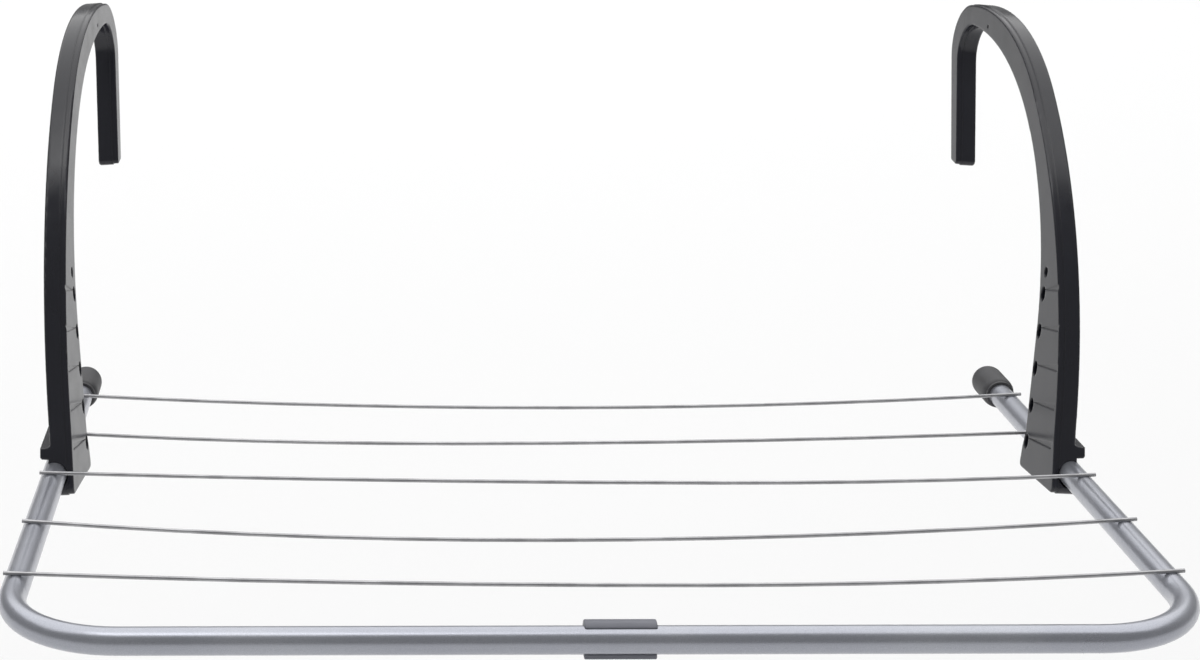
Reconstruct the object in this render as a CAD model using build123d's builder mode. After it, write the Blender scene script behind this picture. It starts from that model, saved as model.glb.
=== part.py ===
"""Hang-over drying rack: a U-shaped tube frame with five wires, held by two hook arms.

The origin is the middle of the rail seat: the highest point of the underside of the
two hooks, half way between them. +X runs along the rail, +Y away from the user over
the rail, +Z up. All sizes are in millimetres.
"""
from build123d import *
from math import atan2, degrees, sin, sqrt
import os

# Frame tube
FRAME_WIDTH = 600.0
TUBE_DIAMETER = 14.0
TUBE_WALL = 1.0
BEND_RADIUS = 57.0
SIDE_LENGTH = 418.0

# Where the frame hangs, measured from the rail seat
SEAT_TO_FRONT = 464.2
SEAT_TO_TUBE = 225.0

# Drying wires: distance behind the front tube, then for each wire from the front the
# place of its low point, its sag, and how far its right end is nearer the front
WIRE_DIAMETER = 2.2
WIRE_FIRST = 67.5
WIRE_PITCH = 74.4
WIRE_OVERHANG = 6.0
WIRE_SET = 0.15
WIRE_SHAPES = [(60, 7.4, 0), (-18, 11.5, 0), (85, 5.4, 3), (-60, 7.2, 0), (8, 8.7, 0)]

# Hook arm blade
BLADE_THICKNESS = 13.0
SKIN_THICKNESS = 3.6
SKIN_STEP = 0.6
BLADE_TOE_IN = 0.094
BLADE_SPLAY = 0.079
BLADE_SEAT_X = 278.5
UNDER_CROWN_RADIUS = 167.7
UNDER_CROWN_ANGLE = 41.3
UNDER_ARM_RADIUS = 183.9
UNDER_ARM_ANGLE = 41.1
NECK_LENGTH = 59.0
INNER_BEND_RADIUS = 18.3
INNER_BEND_ANGLE = 111.5
INNER_TIP_LENGTH = 70.9
CROWN_OFFSET = (-14.5, 14.8)
CROWN_RADIUS = 154.3
CROWN_FRONT_ANGLE = 39.7
CROWN_BACK_ANGLE = 9.1
BROW_RADIUS = 315.8
BROW_ANGLE = 39.2
OUTER_BEND_RADIUS = 27.4
OUTER_BEND_ANGLE = 103.5
OUTER_TIP_LENGTH = 69.6
TIP_CORNER = 3.0
EDGE_ROUND = 1.6
SKIN_ROUND = 1.0

# Foot of the arm, which snaps on the tube
FOOT_FRONT = 232.9
FOOT_REAR = 286.3
FOOT_BELOW_TUBE = 12.5
FOOT_CORNER = 4.0
FOOT_MARGIN = 5.0
RUNNING_GAP = 0.05
LIP_REACH = 8.2
LIP_TOP = 14.4
LIP_UNDERSIDE = 8.4
LIP_FILLET = 8.0
LIP_ROOT = -1.2
FOOT_INSET = -6.0
UPPER_GRIP_REACH = 3.4
LOWER_LIP_REACH = 5.5
MOUTH_FLARE = 1.6
MOUTH_DEPTH = 6.0

# Notches down the rear edge of the arm
NOTCH_COUNT = 5
NOTCH_PITCH = 22.0
NOTCH_LOWEST = 5.0
NOTCH_LENGTH = 5.6
NOTCH_HEIGHT = 9.0
NOTCH_INSET = 5.2
NOTCH_INTO_BLADE = 3.0
RIPPLE_DEPTH = 0.5
RIPPLE_TOP_RISE = 11.0
RIPPLE_FOOT_RISE = 7.0
RIPPLE_MARGIN = 5.0
CREST_SLOT_HEIGHT = 106.0
CREST_SLOT_INSET = 6.2
CREST_SLOT_LENGTH = 6.0
CREST_SLOT_WIDTH = 4.3
PIN_MARK_FORWARD = 26.0
PIN_MARK_UP = 3.6
PIN_MARK_RADIUS = 1.1
RECESS_DEPTH = 2.0

# Rubber end caps
CAP_LENGTH = 38.0
CAP_RADIUS = 10.0
CAP_RIM_RADIUS = 8.6
CAP_RIM_LENGTH = 2.5
CAP_BORE_DEPTH = 30.0
CAP_SHOULDER = 8.0
CAP_NOSE = 8.5

# Saddle clip on the front tube
CLIP_CENTRE_X = 4.7
CLIP_WIDTH = 35.0
CLIP_BACK = 9.0
CLIP_FRONT = 3.6
CLIP_HALF_HEIGHT = 8.8
CLIP_BACK_CORNER = 5.5
CLIP_LIP_CORNER = 0.8
CLIP_END_ROUND = 0.8

tube_r = TUBE_DIAMETER / 2
side_x = FRAME_WIDTH / 2 - tube_r
front_y = -SEAT_TO_FRONT
rear_y = front_y + SIDE_LENGTH
tube_z = -SEAT_TO_TUBE
grip_r = tube_r + RUNNING_GAP

os.makedirs("parts", exist_ok=True)


# Frame: one round tube bent into a U that is open towards the rail
with BuildPart() as frame_tube:
    with BuildLine(Plane.XY.offset(tube_z)) as centreline:
        FilletPolyline(
            (-side_x, rear_y),
            (-side_x, front_y),
            (side_x, front_y),
            (side_x, rear_y),
            radius=BEND_RADIUS,
        )
    with BuildSketch(Plane(origin=(-side_x, rear_y, tube_z), z_dir=(0, -1, 0))):
        Circle(tube_r)
        Circle(tube_r - TUBE_WALL, mode=Mode.SUBTRACT)
    sweep()
frame_tube.part.label = "frame_tube"
export_step(frame_tube.part, "parts/frame_tube.step")


# Drying wires: each lies on both side tubes and bows down to its own low point
def drying_wire(y, low_x, sag, skew):
    """One wire as two arcs that meet, level, at the low point, turned a little in plan."""
    end_z = tube_z + tube_r + WIRE_DIAMETER / 2 - WIRE_SET
    end_x = side_x + WIRE_OVERHANG
    low_z = end_z - sag
    with BuildPart() as wire:
        for side in (1, -1):
            reach = end_x - side * low_x
            turn = 2 * atan2(sag, reach)
            with BuildLine(Plane.XZ.offset(-y)):
                JernArc((low_x, low_z), (side, 0), reach / sin(turn), side * degrees(turn))
            with BuildSketch(Plane(origin=(low_x, y, low_z), z_dir=(side, 0, 0))):
                Circle(WIRE_DIAMETER / 2)
            sweep()
    return wire.part.rotate(Axis((0, y, 0), (0, 0, 1)), degrees(atan2(-skew, end_x)))


for number, (low_x, sag, skew) in enumerate(WIRE_SHAPES, start=1):
    wire_y = front_y + WIRE_FIRST + (number - 1) * WIRE_PITCH
    wire_part = drying_wire(wire_y, low_x, sag, skew)
    wire_part.label = f"drying_wire_{number}"
    export_step(wire_part, f"parts/drying_wire_{number}.step")


# Hook arms. The blade is drawn in its own plane, x to the rear and y up from the seat,
# and its inner face lies in that plane. It leans out and toes in a little.
blade_plane = Plane(
    origin=(BLADE_SEAT_X, 0, 0),
    x_dir=(-BLADE_TOE_IN, 1, 0),
    z_dir=(1, BLADE_TOE_IN, -BLADE_SPLAY),
)
foot_front = front_y + FOOT_FRONT
foot_rear = front_y + FOOT_REAR
foot_bottom = tube_z - FOOT_BELOW_TUBE

with BuildSketch() as outline:
    with BuildLine():
        # Underside of the hook and rear edge of the arm, from the rail seat down
        under_crown = JernArc((0, 0), (-1, 0), UNDER_CROWN_RADIUS, UNDER_CROWN_ANGLE)
        under_arm = JernArc(under_crown @ 1, under_crown % 1, UNDER_ARM_RADIUS, UNDER_ARM_ANGLE)
        neck = Line(under_arm @ 1, under_arm @ 1 + (under_arm % 1) * NECK_LENGTH)
        shin = Line(neck @ 1, (foot_rear, tube_z))
        heel = Line(shin @ 1, (foot_rear, foot_bottom))
        # Inside of the hook's turned-down end
        inner_bend = JernArc((0, 0), (1, 0), INNER_BEND_RADIUS, -INNER_BEND_ANGLE)
        inner_tip = Line(inner_bend @ 1, inner_bend @ 1 + (inner_bend % 1) * INNER_TIP_LENGTH)
        # Top and front edge, from the crown down to the toe
        crown = JernArc(CROWN_OFFSET, (-1, 0), CROWN_RADIUS, CROWN_FRONT_ANGLE)
        brow = JernArc(crown @ 1, crown % 1, BROW_RADIUS, BROW_ANGLE)
        toe = Line(brow @ 1, (foot_front, foot_bottom))
        Line(toe @ 1, heel @ 1)
        # Outside of the turned-down end
        crown_back = JernArc(CROWN_OFFSET, (1, 0), CROWN_RADIUS, -CROWN_BACK_ANGLE)
        outer_bend = JernArc(crown_back @ 1, crown_back % 1, OUTER_BEND_RADIUS, -OUTER_BEND_ANGLE)
        outer_tip = Line(outer_bend @ 1, outer_bend @ 1 + (outer_bend % 1) * OUTER_TIP_LENGTH)
        Line(outer_tip @ 1, inner_tip @ 1)
    make_face()
    tip_corners = outline.vertices().sort_by_distance(outer_tip @ 1)[:2]
    fillet(tip_corners, TIP_CORNER)
    foot_corners = outline.vertices().group_by(Axis.Y)[0]
    fillet(foot_corners, FOOT_CORNER)


def rear_edge_at(height):
    """Rear edge of the arm at a height above the tube, in the blade's own plane."""
    y = tube_z + height
    line = shin if y < (neck @ 1).Y else neck
    start = line @ 0
    slope = (line % 0).X / (line % 0).Y
    return Vector(start.X + (y - start.Y) * slope, y)


def front_edge_at(height):
    """Front edge of the arm at a height above the tube, in the blade's own plane."""
    y = tube_z + height
    centre = brow.arc_center
    return Vector(centre.X - sqrt(BROW_RADIUS**2 - (y - centre.Y) ** 2), y)


tube_axis = Axis((side_x, 0, tube_z), (0, 1, 0))

# Foot of the right arm: an upper lip over the tube and a lower lip under it, open
# outwards, cut to the same side view as the blade
with BuildPart() as foot:
    with BuildSketch(Plane.XZ.offset(FOOT_MARGIN - foot_front)):
        with BuildLine(Location((side_x, tube_z))):
            Polyline(
                (LIP_ROOT + LIP_FILLET, LIP_TOP),
                (LIP_REACH, LIP_TOP),
                (LIP_REACH, LIP_UNDERSIDE + 1),
                (LIP_REACH - 1, LIP_UNDERSIDE),
                (UPPER_GRIP_REACH, LIP_UNDERSIDE),
                (UPPER_GRIP_REACH, tube_r / 2),
                (LOWER_LIP_REACH, -tube_r / 2),
                (LOWER_LIP_REACH, 2 - FOOT_BELOW_TUBE),
                (LOWER_LIP_REACH - 2, -FOOT_BELOW_TUBE - 1),
                (FOOT_INSET, -FOOT_BELOW_TUBE - 1),
                (FOOT_INSET, LIP_TOP + LIP_FILLET),
                (LIP_ROOT, LIP_TOP + LIP_FILLET),
            )
            CenterArc((LIP_ROOT + LIP_FILLET, LIP_TOP + LIP_FILLET), LIP_FILLET, 180, 90)
        make_face()
    extrude(amount=foot_front - foot_rear - 2 * FOOT_MARGIN)
    with BuildSketch(blade_plane.offset(-BLADE_THICKNESS)):
        add(outline.sketch)
    extrude(amount=4 * BLADE_THICKNESS, mode=Mode.INTERSECT)

with BuildPart() as hook_arm_right:
    # Main plate, rounded along the edges of its outer face
    with BuildSketch(blade_plane.offset(SKIN_THICKNESS)):
        add(outline.sketch)
    extrude(amount=BLADE_THICKNESS - SKIN_THICKNESS)
    outer_face = faces().filter_by(blade_plane).sort_by(Axis.X)[-1]
    fillet(outer_face.edges(), EDGE_ROUND)
    add(foot.part)
    # Skin on the inner side, set in from the plate by a fine step
    with BuildSketch(blade_plane):
        add(outline.sketch)
        offset(amount=-SKIN_STEP, mode=Mode.REPLACE)
    extrude(amount=SKIN_THICKNESS)
    inner_face = faces().filter_by(blade_plane).sort_by(Axis.X)[0]
    fillet(inner_face.edges(), SKIN_ROUND)
    # Bore for the tube, flared at both ends
    with BuildSketch(Plane((side_x, 0, tube_z), x_dir=(1, 0, 0), z_dir=(0, 0, 1))):
        with BuildLine():
            Polyline(
                (0, foot_front - FOOT_MARGIN),
                (grip_r + MOUTH_FLARE, foot_front - FOOT_MARGIN),
                (grip_r + MOUTH_FLARE, foot_front),
                (grip_r, foot_front + MOUTH_DEPTH),
                (grip_r, foot_rear - MOUTH_DEPTH),
                (grip_r + MOUTH_FLARE, foot_rear),
                (grip_r + MOUTH_FLARE, foot_rear + FOOT_MARGIN),
                (0, foot_rear + FOOT_MARGIN),
                close=True,
            )
        make_face()
    revolve(axis=tube_axis, mode=Mode.SUBTRACT)
    # Notches down the rear edge: blind oval pits that stay within the skin
    for number in range(NOTCH_COUNT):
        height = NOTCH_LOWEST + number * NOTCH_PITCH
        back = rear_edge_at(height)
        front = front_edge_at(height)
        with BuildSketch(blade_plane):
            with Locations((back.X - NOTCH_INSET, back.Y)):
                Ellipse(NOTCH_LENGTH / 2, NOTCH_HEIGHT / 2)
        extrude(amount=NOTCH_INTO_BLADE, mode=Mode.SUBTRACT)
        # Fine ripple that rises and widens from the notch towards the front edge
        with BuildSketch(blade_plane):
            with BuildLine():
                Polyline(
                    back + (-NOTCH_INSET, NOTCH_HEIGHT * 0.25),
                    front + (RIPPLE_MARGIN, RIPPLE_TOP_RISE),
                    front + (RIPPLE_MARGIN, RIPPLE_FOOT_RISE),
                    close=True,
                )
            make_face()
        extrude(amount=RIPPLE_DEPTH, mode=Mode.SUBTRACT)
    # Oval recess above the notches and a round one under the crown
    crest = rear_edge_at(CREST_SLOT_HEIGHT)
    with BuildSketch(blade_plane):
        with Locations((crest.X - CREST_SLOT_INSET, crest.Y)):
            SlotOverall(CREST_SLOT_LENGTH, CREST_SLOT_WIDTH, rotation=75)
        with Locations((-PIN_MARK_FORWARD, PIN_MARK_UP)):
            Circle(PIN_MARK_RADIUS)
    extrude(amount=RECESS_DEPTH, mode=Mode.SUBTRACT)

hook_arm_right.part.label = "hook_arm_right"
export_step(hook_arm_right.part, "parts/hook_arm_right.step")

with BuildPart() as hook_arm_left:
    mirror(hook_arm_right.part, about=Plane.YZ)
hook_arm_left.part.label = "hook_arm_left"
export_step(hook_arm_left.part, "parts/hook_arm_left.step")


# Rubber end caps pushed on the two open ends of the tube
with BuildPart() as end_cap_right:
    with BuildSketch(Plane((side_x, rear_y, tube_z), x_dir=(1, 0, 0), z_dir=(0, 0, 1))):
        with BuildLine():
            rim_end = CAP_RIM_LENGTH - CAP_BORE_DEPTH
            cap_end = CAP_LENGTH - CAP_BORE_DEPTH
            Polyline(
                (0, 0),
                (tube_r, 0),
                (tube_r, -CAP_BORE_DEPTH),
                (CAP_RIM_RADIUS, -CAP_BORE_DEPTH),
                (CAP_RIM_RADIUS, rim_end),
            )
            Spline(
                (CAP_RIM_RADIUS, rim_end),
                (CAP_RADIUS, rim_end + CAP_SHOULDER),
                tangents=[(1, 1), (0, 1)],
            )
            Line((CAP_RADIUS, rim_end + CAP_SHOULDER), (CAP_RADIUS, cap_end - CAP_NOSE))
            Spline(
                (CAP_RADIUS, cap_end - CAP_NOSE),
                (CAP_RADIUS - CAP_NOSE, cap_end),
                tangents=[(0, 1), (-1, 0)],
            )
            Polyline((CAP_RADIUS - CAP_NOSE, cap_end), (0, cap_end), (0, 0))
        make_face()
    revolve(axis=tube_axis)
end_cap_right.part.label = "end_cap_right"
export_step(end_cap_right.part, "parts/end_cap_right.step")

with BuildPart() as end_cap_left:
    mirror(end_cap_right.part, about=Plane.YZ)
end_cap_left.part.label = "end_cap_left"
export_step(end_cap_left.part, "parts/end_cap_left.step")


# Clip on the front tube: a saddle from behind with a lip above and one below
with BuildPart() as front_clip:
    with BuildSketch(Plane.YZ.offset(CLIP_CENTRE_X)):
        with Locations((front_y, tube_z)):
            with Locations(((CLIP_BACK - CLIP_FRONT) / 2, 0)):
                Rectangle(CLIP_BACK + CLIP_FRONT, 2 * CLIP_HALF_HEIGHT)
        fillet(vertices().group_by(Axis.Y)[-1], CLIP_BACK_CORNER)
        fillet(vertices().group_by(Axis.Y)[0], CLIP_LIP_CORNER)
    extrude(amount=CLIP_WIDTH / 2, both=True)
    fillet(faces().group_by(Axis.X)[0].edges(), CLIP_END_ROUND)
    fillet(faces().group_by(Axis.X)[-1].edges(), CLIP_END_ROUND)
    with BuildSketch(Plane.YZ.offset(CLIP_CENTRE_X)):
        with Locations((front_y, tube_z)):
            Circle(grip_r)
    extrude(amount=CLIP_WIDTH, both=True, mode=Mode.SUBTRACT)
front_clip.part.label = "front_clip"
export_step(front_clip.part, "parts/front_clip.step")
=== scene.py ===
"""Looks of the hang-over drying rack: materials, studio light and the camera."""
from math import cos, radians, sin

import bpy
from mathutils import Matrix, Vector


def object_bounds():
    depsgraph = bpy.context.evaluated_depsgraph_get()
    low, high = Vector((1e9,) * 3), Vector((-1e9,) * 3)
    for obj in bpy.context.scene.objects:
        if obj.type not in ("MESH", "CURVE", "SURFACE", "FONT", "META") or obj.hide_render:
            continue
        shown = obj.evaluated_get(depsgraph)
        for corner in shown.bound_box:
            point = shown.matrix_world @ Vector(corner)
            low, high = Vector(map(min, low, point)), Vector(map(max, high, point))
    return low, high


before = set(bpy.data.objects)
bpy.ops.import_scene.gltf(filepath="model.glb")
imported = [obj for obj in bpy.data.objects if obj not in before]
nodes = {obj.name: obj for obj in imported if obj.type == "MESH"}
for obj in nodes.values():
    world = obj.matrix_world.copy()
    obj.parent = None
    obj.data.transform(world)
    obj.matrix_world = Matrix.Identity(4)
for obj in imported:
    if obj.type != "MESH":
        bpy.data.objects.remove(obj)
cad_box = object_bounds()


# --- node helpers ---------------------------------------------------------------

class Graph:
    """A material's node tree with short calls for the nodes used here."""

    def __init__(self, name):
        self.material = bpy.data.materials.new(name)
        self.material.use_nodes = True
        self.tree = self.material.node_tree
        self.shader = self.tree.nodes["Principled BSDF"]
        self.position = self.add("ShaderNodeTexCoord").outputs["Object"]

    def add(self, kind, **settings):
        node = self.tree.nodes.new(kind)
        for key, value in settings.items():
            setattr(node, key, value)
        return node

    def link(self, source, target):
        self.tree.links.new(source, target)

    def scaled(self, scale):
        """Object coordinates stretched by a factor along each axis."""
        node = self.add("ShaderNodeMapping")
        node.inputs["Scale"].default_value = scale
        self.link(self.position, node.inputs["Vector"])
        return node.outputs["Vector"]

    def noise(self, scale, detail=4.0, roughness=0.55, stretch=None):
        node = self.add("ShaderNodeTexNoise")
        node.inputs["Scale"].default_value = scale
        node.inputs["Detail"].default_value = detail
        node.inputs["Roughness"].default_value = roughness
        self.link(self.scaled(stretch) if stretch else self.position, node.inputs["Vector"])
        return node.outputs["Fac"]

    def ramp(self, source, stops):
        """A colour ramp; stops are (position, colour)."""
        node = self.add("ShaderNodeValToRGB")
        elements = node.color_ramp.elements
        while len(elements) < len(stops):
            elements.new(0.5)
        for element, (place, colour) in zip(elements, stops):
            element.position = place
            element.color = (*colour, 1.0)
        self.link(source, node.inputs["Fac"])
        return node.outputs["Color"]

    def spread(self, source, low, high, new_low, new_high):
        """A number mapped from one range to another."""
        node = self.add("ShaderNodeMapRange")
        for key, value in zip(("From Min", "From Max", "To Min", "To Max"),
                              (low, high, new_low, new_high)):
            node.inputs[key].default_value = value
        self.link(source, node.inputs["Value"])
        return node.outputs["Result"]

    def bump(self, layers, edge_radius=0.0):
        """Height layers, each (source, distance in metres, strength), on the shader's normal.

        With an edge radius the layers lie on a normal that rounds sharp edges.
        """
        normal = None
        if edge_radius:
            soft = self.add("ShaderNodeBevel", samples=6)
            soft.inputs["Radius"].default_value = edge_radius
            normal = soft.outputs["Normal"]
        for source, distance, strength in layers:
            node = self.add("ShaderNodeBump")
            node.inputs["Distance"].default_value = distance
            node.inputs["Strength"].default_value = strength
            self.link(source, node.inputs["Height"])
            if normal is not None:
                self.link(normal, node.inputs["Normal"])
            normal = node.outputs["Normal"]
        self.link(normal, self.shader.inputs["Normal"])

    def set(self, **values):
        """Constants on the shader's own sockets; underscores stand for spaces."""
        for key, value in values.items():
            self.shader.inputs[key.replace("_", " ")].default_value = value

    def mix(self, amount, low, high):
        """Two colours mixed by a number."""
        node = self.add("ShaderNodeMix", data_type="RGBA")
        self.link(amount, node.inputs["Factor"])
        for socket, value in ((node.inputs[6], low), (node.inputs[7], high)):
            if isinstance(value, tuple):
                socket.default_value = (*value, 1.0)
            else:
                self.link(value, socket)
        return node.outputs[2]

    def edges(self, radius, samples=6):
        """1 near sharp edges and 0 away from them, for edge scuffing and a painted highlight
        along the edges.
        """
        bevel = self.add("ShaderNodeBevel", samples=samples)
        bevel.inputs["Radius"].default_value = radius
        geometry = self.add("ShaderNodeNewGeometry")
        dot = self.add("ShaderNodeVectorMath", operation="DOT_PRODUCT")
        self.link(bevel.outputs["Normal"], dot.inputs[0])
        self.link(geometry.outputs["Normal"], dot.inputs[1])
        return self.spread(dot.outputs["Value"], 0.98, 0.80, 0.0, 1.0)


# --- materials ------------------------------------------------------------------

ARM_EDGE_RADIUS = 0.0016
CLIP_EDGE_RADIUS = 0.0008


def painted_tube():
    """Silver-grey lacquer on bent steel tube: fine flake, light orange peel, faint rubs."""
    g = Graph("painted_tube")
    flake = g.noise(2600, 2.0, 0.6)
    cloud = g.noise(14, 3.0, 0.5)
    colour = g.ramp(flake, [(0.35, (0.34, 0.352, 0.395)), (0.65, (0.44, 0.453, 0.50))])
    rubbed = g.ramp(cloud, [(0.42, (0.94, 0.94, 0.95)), (0.62, (1.03, 1.03, 1.02))])
    tint = g.add("ShaderNodeMix", data_type="RGBA", blend_type="MULTIPLY")
    tint.inputs["Factor"].default_value = 1.0
    g.link(colour, tint.inputs[6])
    g.link(rubbed, tint.inputs[7])
    g.link(tint.outputs[2], g.shader.inputs["Base Color"])
    g.link(g.spread(cloud, 0.3, 0.7, 0.27, 0.36), g.shader.inputs["Roughness"])
    g.set(Metallic=0.75, Coat_Weight=0.35, Coat_Roughness=0.12, Specular_IOR_Level=0.5)
    g.bump([(g.noise(420, 3.0, 0.5), 0.00006, 0.25), (flake, 0.00002, 0.2)])
    return g.material


def drawn_wire():
    """Bright drawn steel wire with fine drawing lines along its length."""
    g = Graph("steel_wire")
    lines = g.noise(900, 3.0, 0.6, stretch=(0.02, 1.0, 1.0))
    patches = g.noise(60, 3.0, 0.6)
    colour = g.ramp(patches, [(0.35, (0.33, 0.33, 0.34)), (0.65, (0.45, 0.45, 0.46))])
    g.link(colour, g.shader.inputs["Base Color"])
    g.link(g.spread(lines, 0.3, 0.7, 0.34, 0.5), g.shader.inputs["Roughness"])
    g.set(Metallic=1.0)
    g.bump([(lines, 0.00003, 0.3)])
    return g.material


def moulded_black():
    """Black moulded plastic: fine satin grain, soft flow marks, edges polished by handling and
    lighter in colour, partly scuffing and partly a painted highlight.
    """
    g = Graph("black_plastic")
    grain = g.noise(3200, 3.0, 0.65)
    flow = g.noise(26, 4.0, 0.6, stretch=(1.0, 0.6, 0.35))
    smudge = g.noise(75, 5.0, 0.6)
    edge_wear_and_sheen = g.edges(0.0009)
    base = g.ramp(flow, [(0.3, (0.0105, 0.0110, 0.0160)), (0.7, (0.0150, 0.0155, 0.0225))])
    # Edge colour lifted to a lighter blue-black: partly scuffing from handling, partly a
    # painted highlight along the edges.
    colour = g.mix(edge_wear_and_sheen, base, (0.026, 0.027, 0.035))
    g.link(colour, g.shader.inputs["Base Color"])
    worn = g.add("ShaderNodeMath", operation="MULTIPLY_ADD")
    g.link(edge_wear_and_sheen, worn.inputs[0])
    worn.inputs[1].default_value = -0.06
    g.link(g.spread(smudge, 0.3, 0.7, 0.15, 0.25), worn.inputs[2])
    g.link(worn.outputs["Value"], g.shader.inputs["Roughness"])
    g.set(IOR=1.5, Specular_IOR_Level=0.5)
    g.bump([(flow, 0.0006, 0.10), (grain, 0.00002, 0.25)], edge_radius=ARM_EDGE_RADIUS)
    return g.material


def moulded_rubber():
    """Matt black rubber with a fine pitted skin and a little dust bloom."""
    g = Graph("black_rubber")
    pits = g.noise(2400, 4.0, 0.7)
    bloom = g.noise(90, 5.0, 0.6)
    colour = g.ramp(bloom, [(0.35, (0.035, 0.035, 0.038)), (0.7, (0.062, 0.062, 0.067))])
    g.link(colour, g.shader.inputs["Base Color"])
    g.link(g.spread(bloom, 0.3, 0.7, 0.48, 0.62), g.shader.inputs["Roughness"])
    g.set(IOR=1.52, Specular_IOR_Level=0.5)
    g.bump([(pits, 0.00006, 0.4)])
    return g.material


def moulded_grey():
    """Blue-grey moulded plastic with a satin grain and lighter edges, partly scuffing and
    partly a painted highlight.
    """
    g = Graph("grey_plastic")
    grain = g.noise(2600, 3.0, 0.6)
    flow = g.noise(60, 3.0, 0.5)
    edge_wear_and_sheen = g.edges(0.0006)
    base = g.ramp(flow, [(0.3, (0.135, 0.140, 0.168)), (0.7, (0.165, 0.170, 0.200))])
    # Edge colour lifted to a lighter grey: partly scuffing, partly a painted highlight along
    # the edges.
    g.link(g.mix(edge_wear_and_sheen, base, (0.17, 0.18, 0.2)), g.shader.inputs["Base Color"])
    g.link(g.spread(flow, 0.3, 0.7, 0.38, 0.48), g.shader.inputs["Roughness"])
    g.bump([(grain, 0.00003, 0.35)], edge_radius=CLIP_EDGE_RADIUS)
    return g.material


looks = {
    "frame_tube": painted_tube(),
    "front_clip": moulded_grey(),
}
black, rubber, wire = moulded_black(), moulded_rubber(), drawn_wire()
for name in nodes:
    if name.startswith("hook_arm"):
        looks[name] = black
    elif name.startswith("end_cap"):
        looks[name] = rubber
    elif name.startswith("drying_wire"):
        looks[name] = wire
for name, material in looks.items():
    mesh = nodes[name].data
    mesh.materials.clear()
    mesh.materials.append(material)


# --- floor and studio light -----------------------------------------------------

def plane(name, size, centre, material=None):
    mesh = bpy.data.meshes.new(name)
    half = size / 2
    corners = [(x * half, y * half, 0.0) for x, y in ((-1, -1), (1, -1), (1, 1), (-1, 1))]
    mesh.from_pydata(corners, [], [(0, 1, 2, 3)])
    item = bpy.data.objects.new(name, mesh)
    bpy.context.scene.collection.objects.link(item)
    item.location = centre
    if material:
        mesh.materials.append(material)
    return item


FLOOR_DROP = 0.35
FLOOR_SIZE = 30.0
WORLD_STRENGTH = 0.28
low, high = cad_box
floor_look = Graph("floor")
floor_look.set(Base_Color=(0.86, 0.86, 0.86, 1.0), Roughness=0.9)
floor = plane("floor", FLOOR_SIZE, (0.0, 0.0, low.z - FLOOR_DROP), floor_look.material)

world = bpy.data.worlds.new("studio")
bpy.context.scene.world = world
world.use_nodes = True
world.node_tree.nodes["Background"].inputs["Color"].default_value = (1.0, 1.0, 1.0, 1.0)
world.node_tree.nodes["Background"].inputs["Strength"].default_value = WORLD_STRENGTH


def soft_light(name, place, aim, size, energy):
    data = bpy.data.lights.new(name, "AREA")
    data.shape = "RECTANGLE"
    data.size, data.size_y = size
    data.energy = energy
    lamp = bpy.data.objects.new(name, data)
    bpy.context.scene.collection.objects.link(lamp)
    lamp.location = place
    lamp.rotation_mode = "QUATERNION"
    direction = Vector(aim) - Vector(place)
    lamp.rotation_quaternion = direction.to_track_quat("-Z", "Y")


# A wide ceiling starts just in front of the rack and reaches far behind it, so what
# faces the front sees the dim world. A small key puts a highlight on the crowns.
CEILING_PLACE, CEILING_AIM = (0.0, 5.4, 6.0), (0.0, 5.4, 0.0)
CEILING_SIZE, CEILING_WATTS = (16.0, 16.0), 1150.0
KEY_PLACE, KEY_AIM = (-0.5, -1.0, 2.4), (0.0, -0.2, -0.1)
KEY_SIZE, KEY_WATTS = (1.3, 0.9), 7.0
soft_light("ceiling", CEILING_PLACE, CEILING_AIM, CEILING_SIZE, CEILING_WATTS)
soft_light("key", KEY_PLACE, KEY_AIM, KEY_SIZE, KEY_WATTS)


# --- camera ---------------------------------------------------------------------

FOCAL_LENGTH = 70.73
SENSOR_WIDTH = 36.0
CAMERA_SHIFT = 0.19
CAMERA_PLACE = Vector((-0.1315, -1.5069, 0.2274))
PITCH, YAW, ROLL = radians(15.949), radians(0.914), radians(-0.224)

ahead = Vector((sin(YAW) * cos(PITCH), cos(YAW) * cos(PITCH), -sin(PITCH)))
level = Vector((cos(YAW), -sin(YAW), 0.0))
down = ahead.cross(level)
right = cos(ROLL) * level + sin(ROLL) * down
below = -sin(ROLL) * level + cos(ROLL) * down
camera_data = bpy.data.cameras.new("camera")
camera_data.lens = FOCAL_LENGTH
camera_data.sensor_width = SENSOR_WIDTH
camera_data.shift_x = CAMERA_SHIFT
camera_data.clip_start, camera_data.clip_end = 0.05, 100.0
camera = bpy.data.objects.new("camera", camera_data)
bpy.context.scene.collection.objects.link(camera)
camera.matrix_world = Matrix.Translation(CAMERA_PLACE) @ Matrix((
    (right.x, -below.x, -ahead.x, 0.0),
    (right.y, -below.y, -ahead.y, 0.0),
    (right.z, -below.z, -ahead.z, 0.0),
    (0.0, 0.0, 0.0, 1.0),
))
bpy.context.scene.camera = camera

bpy.context.scene.view_settings.view_transform = "Standard"
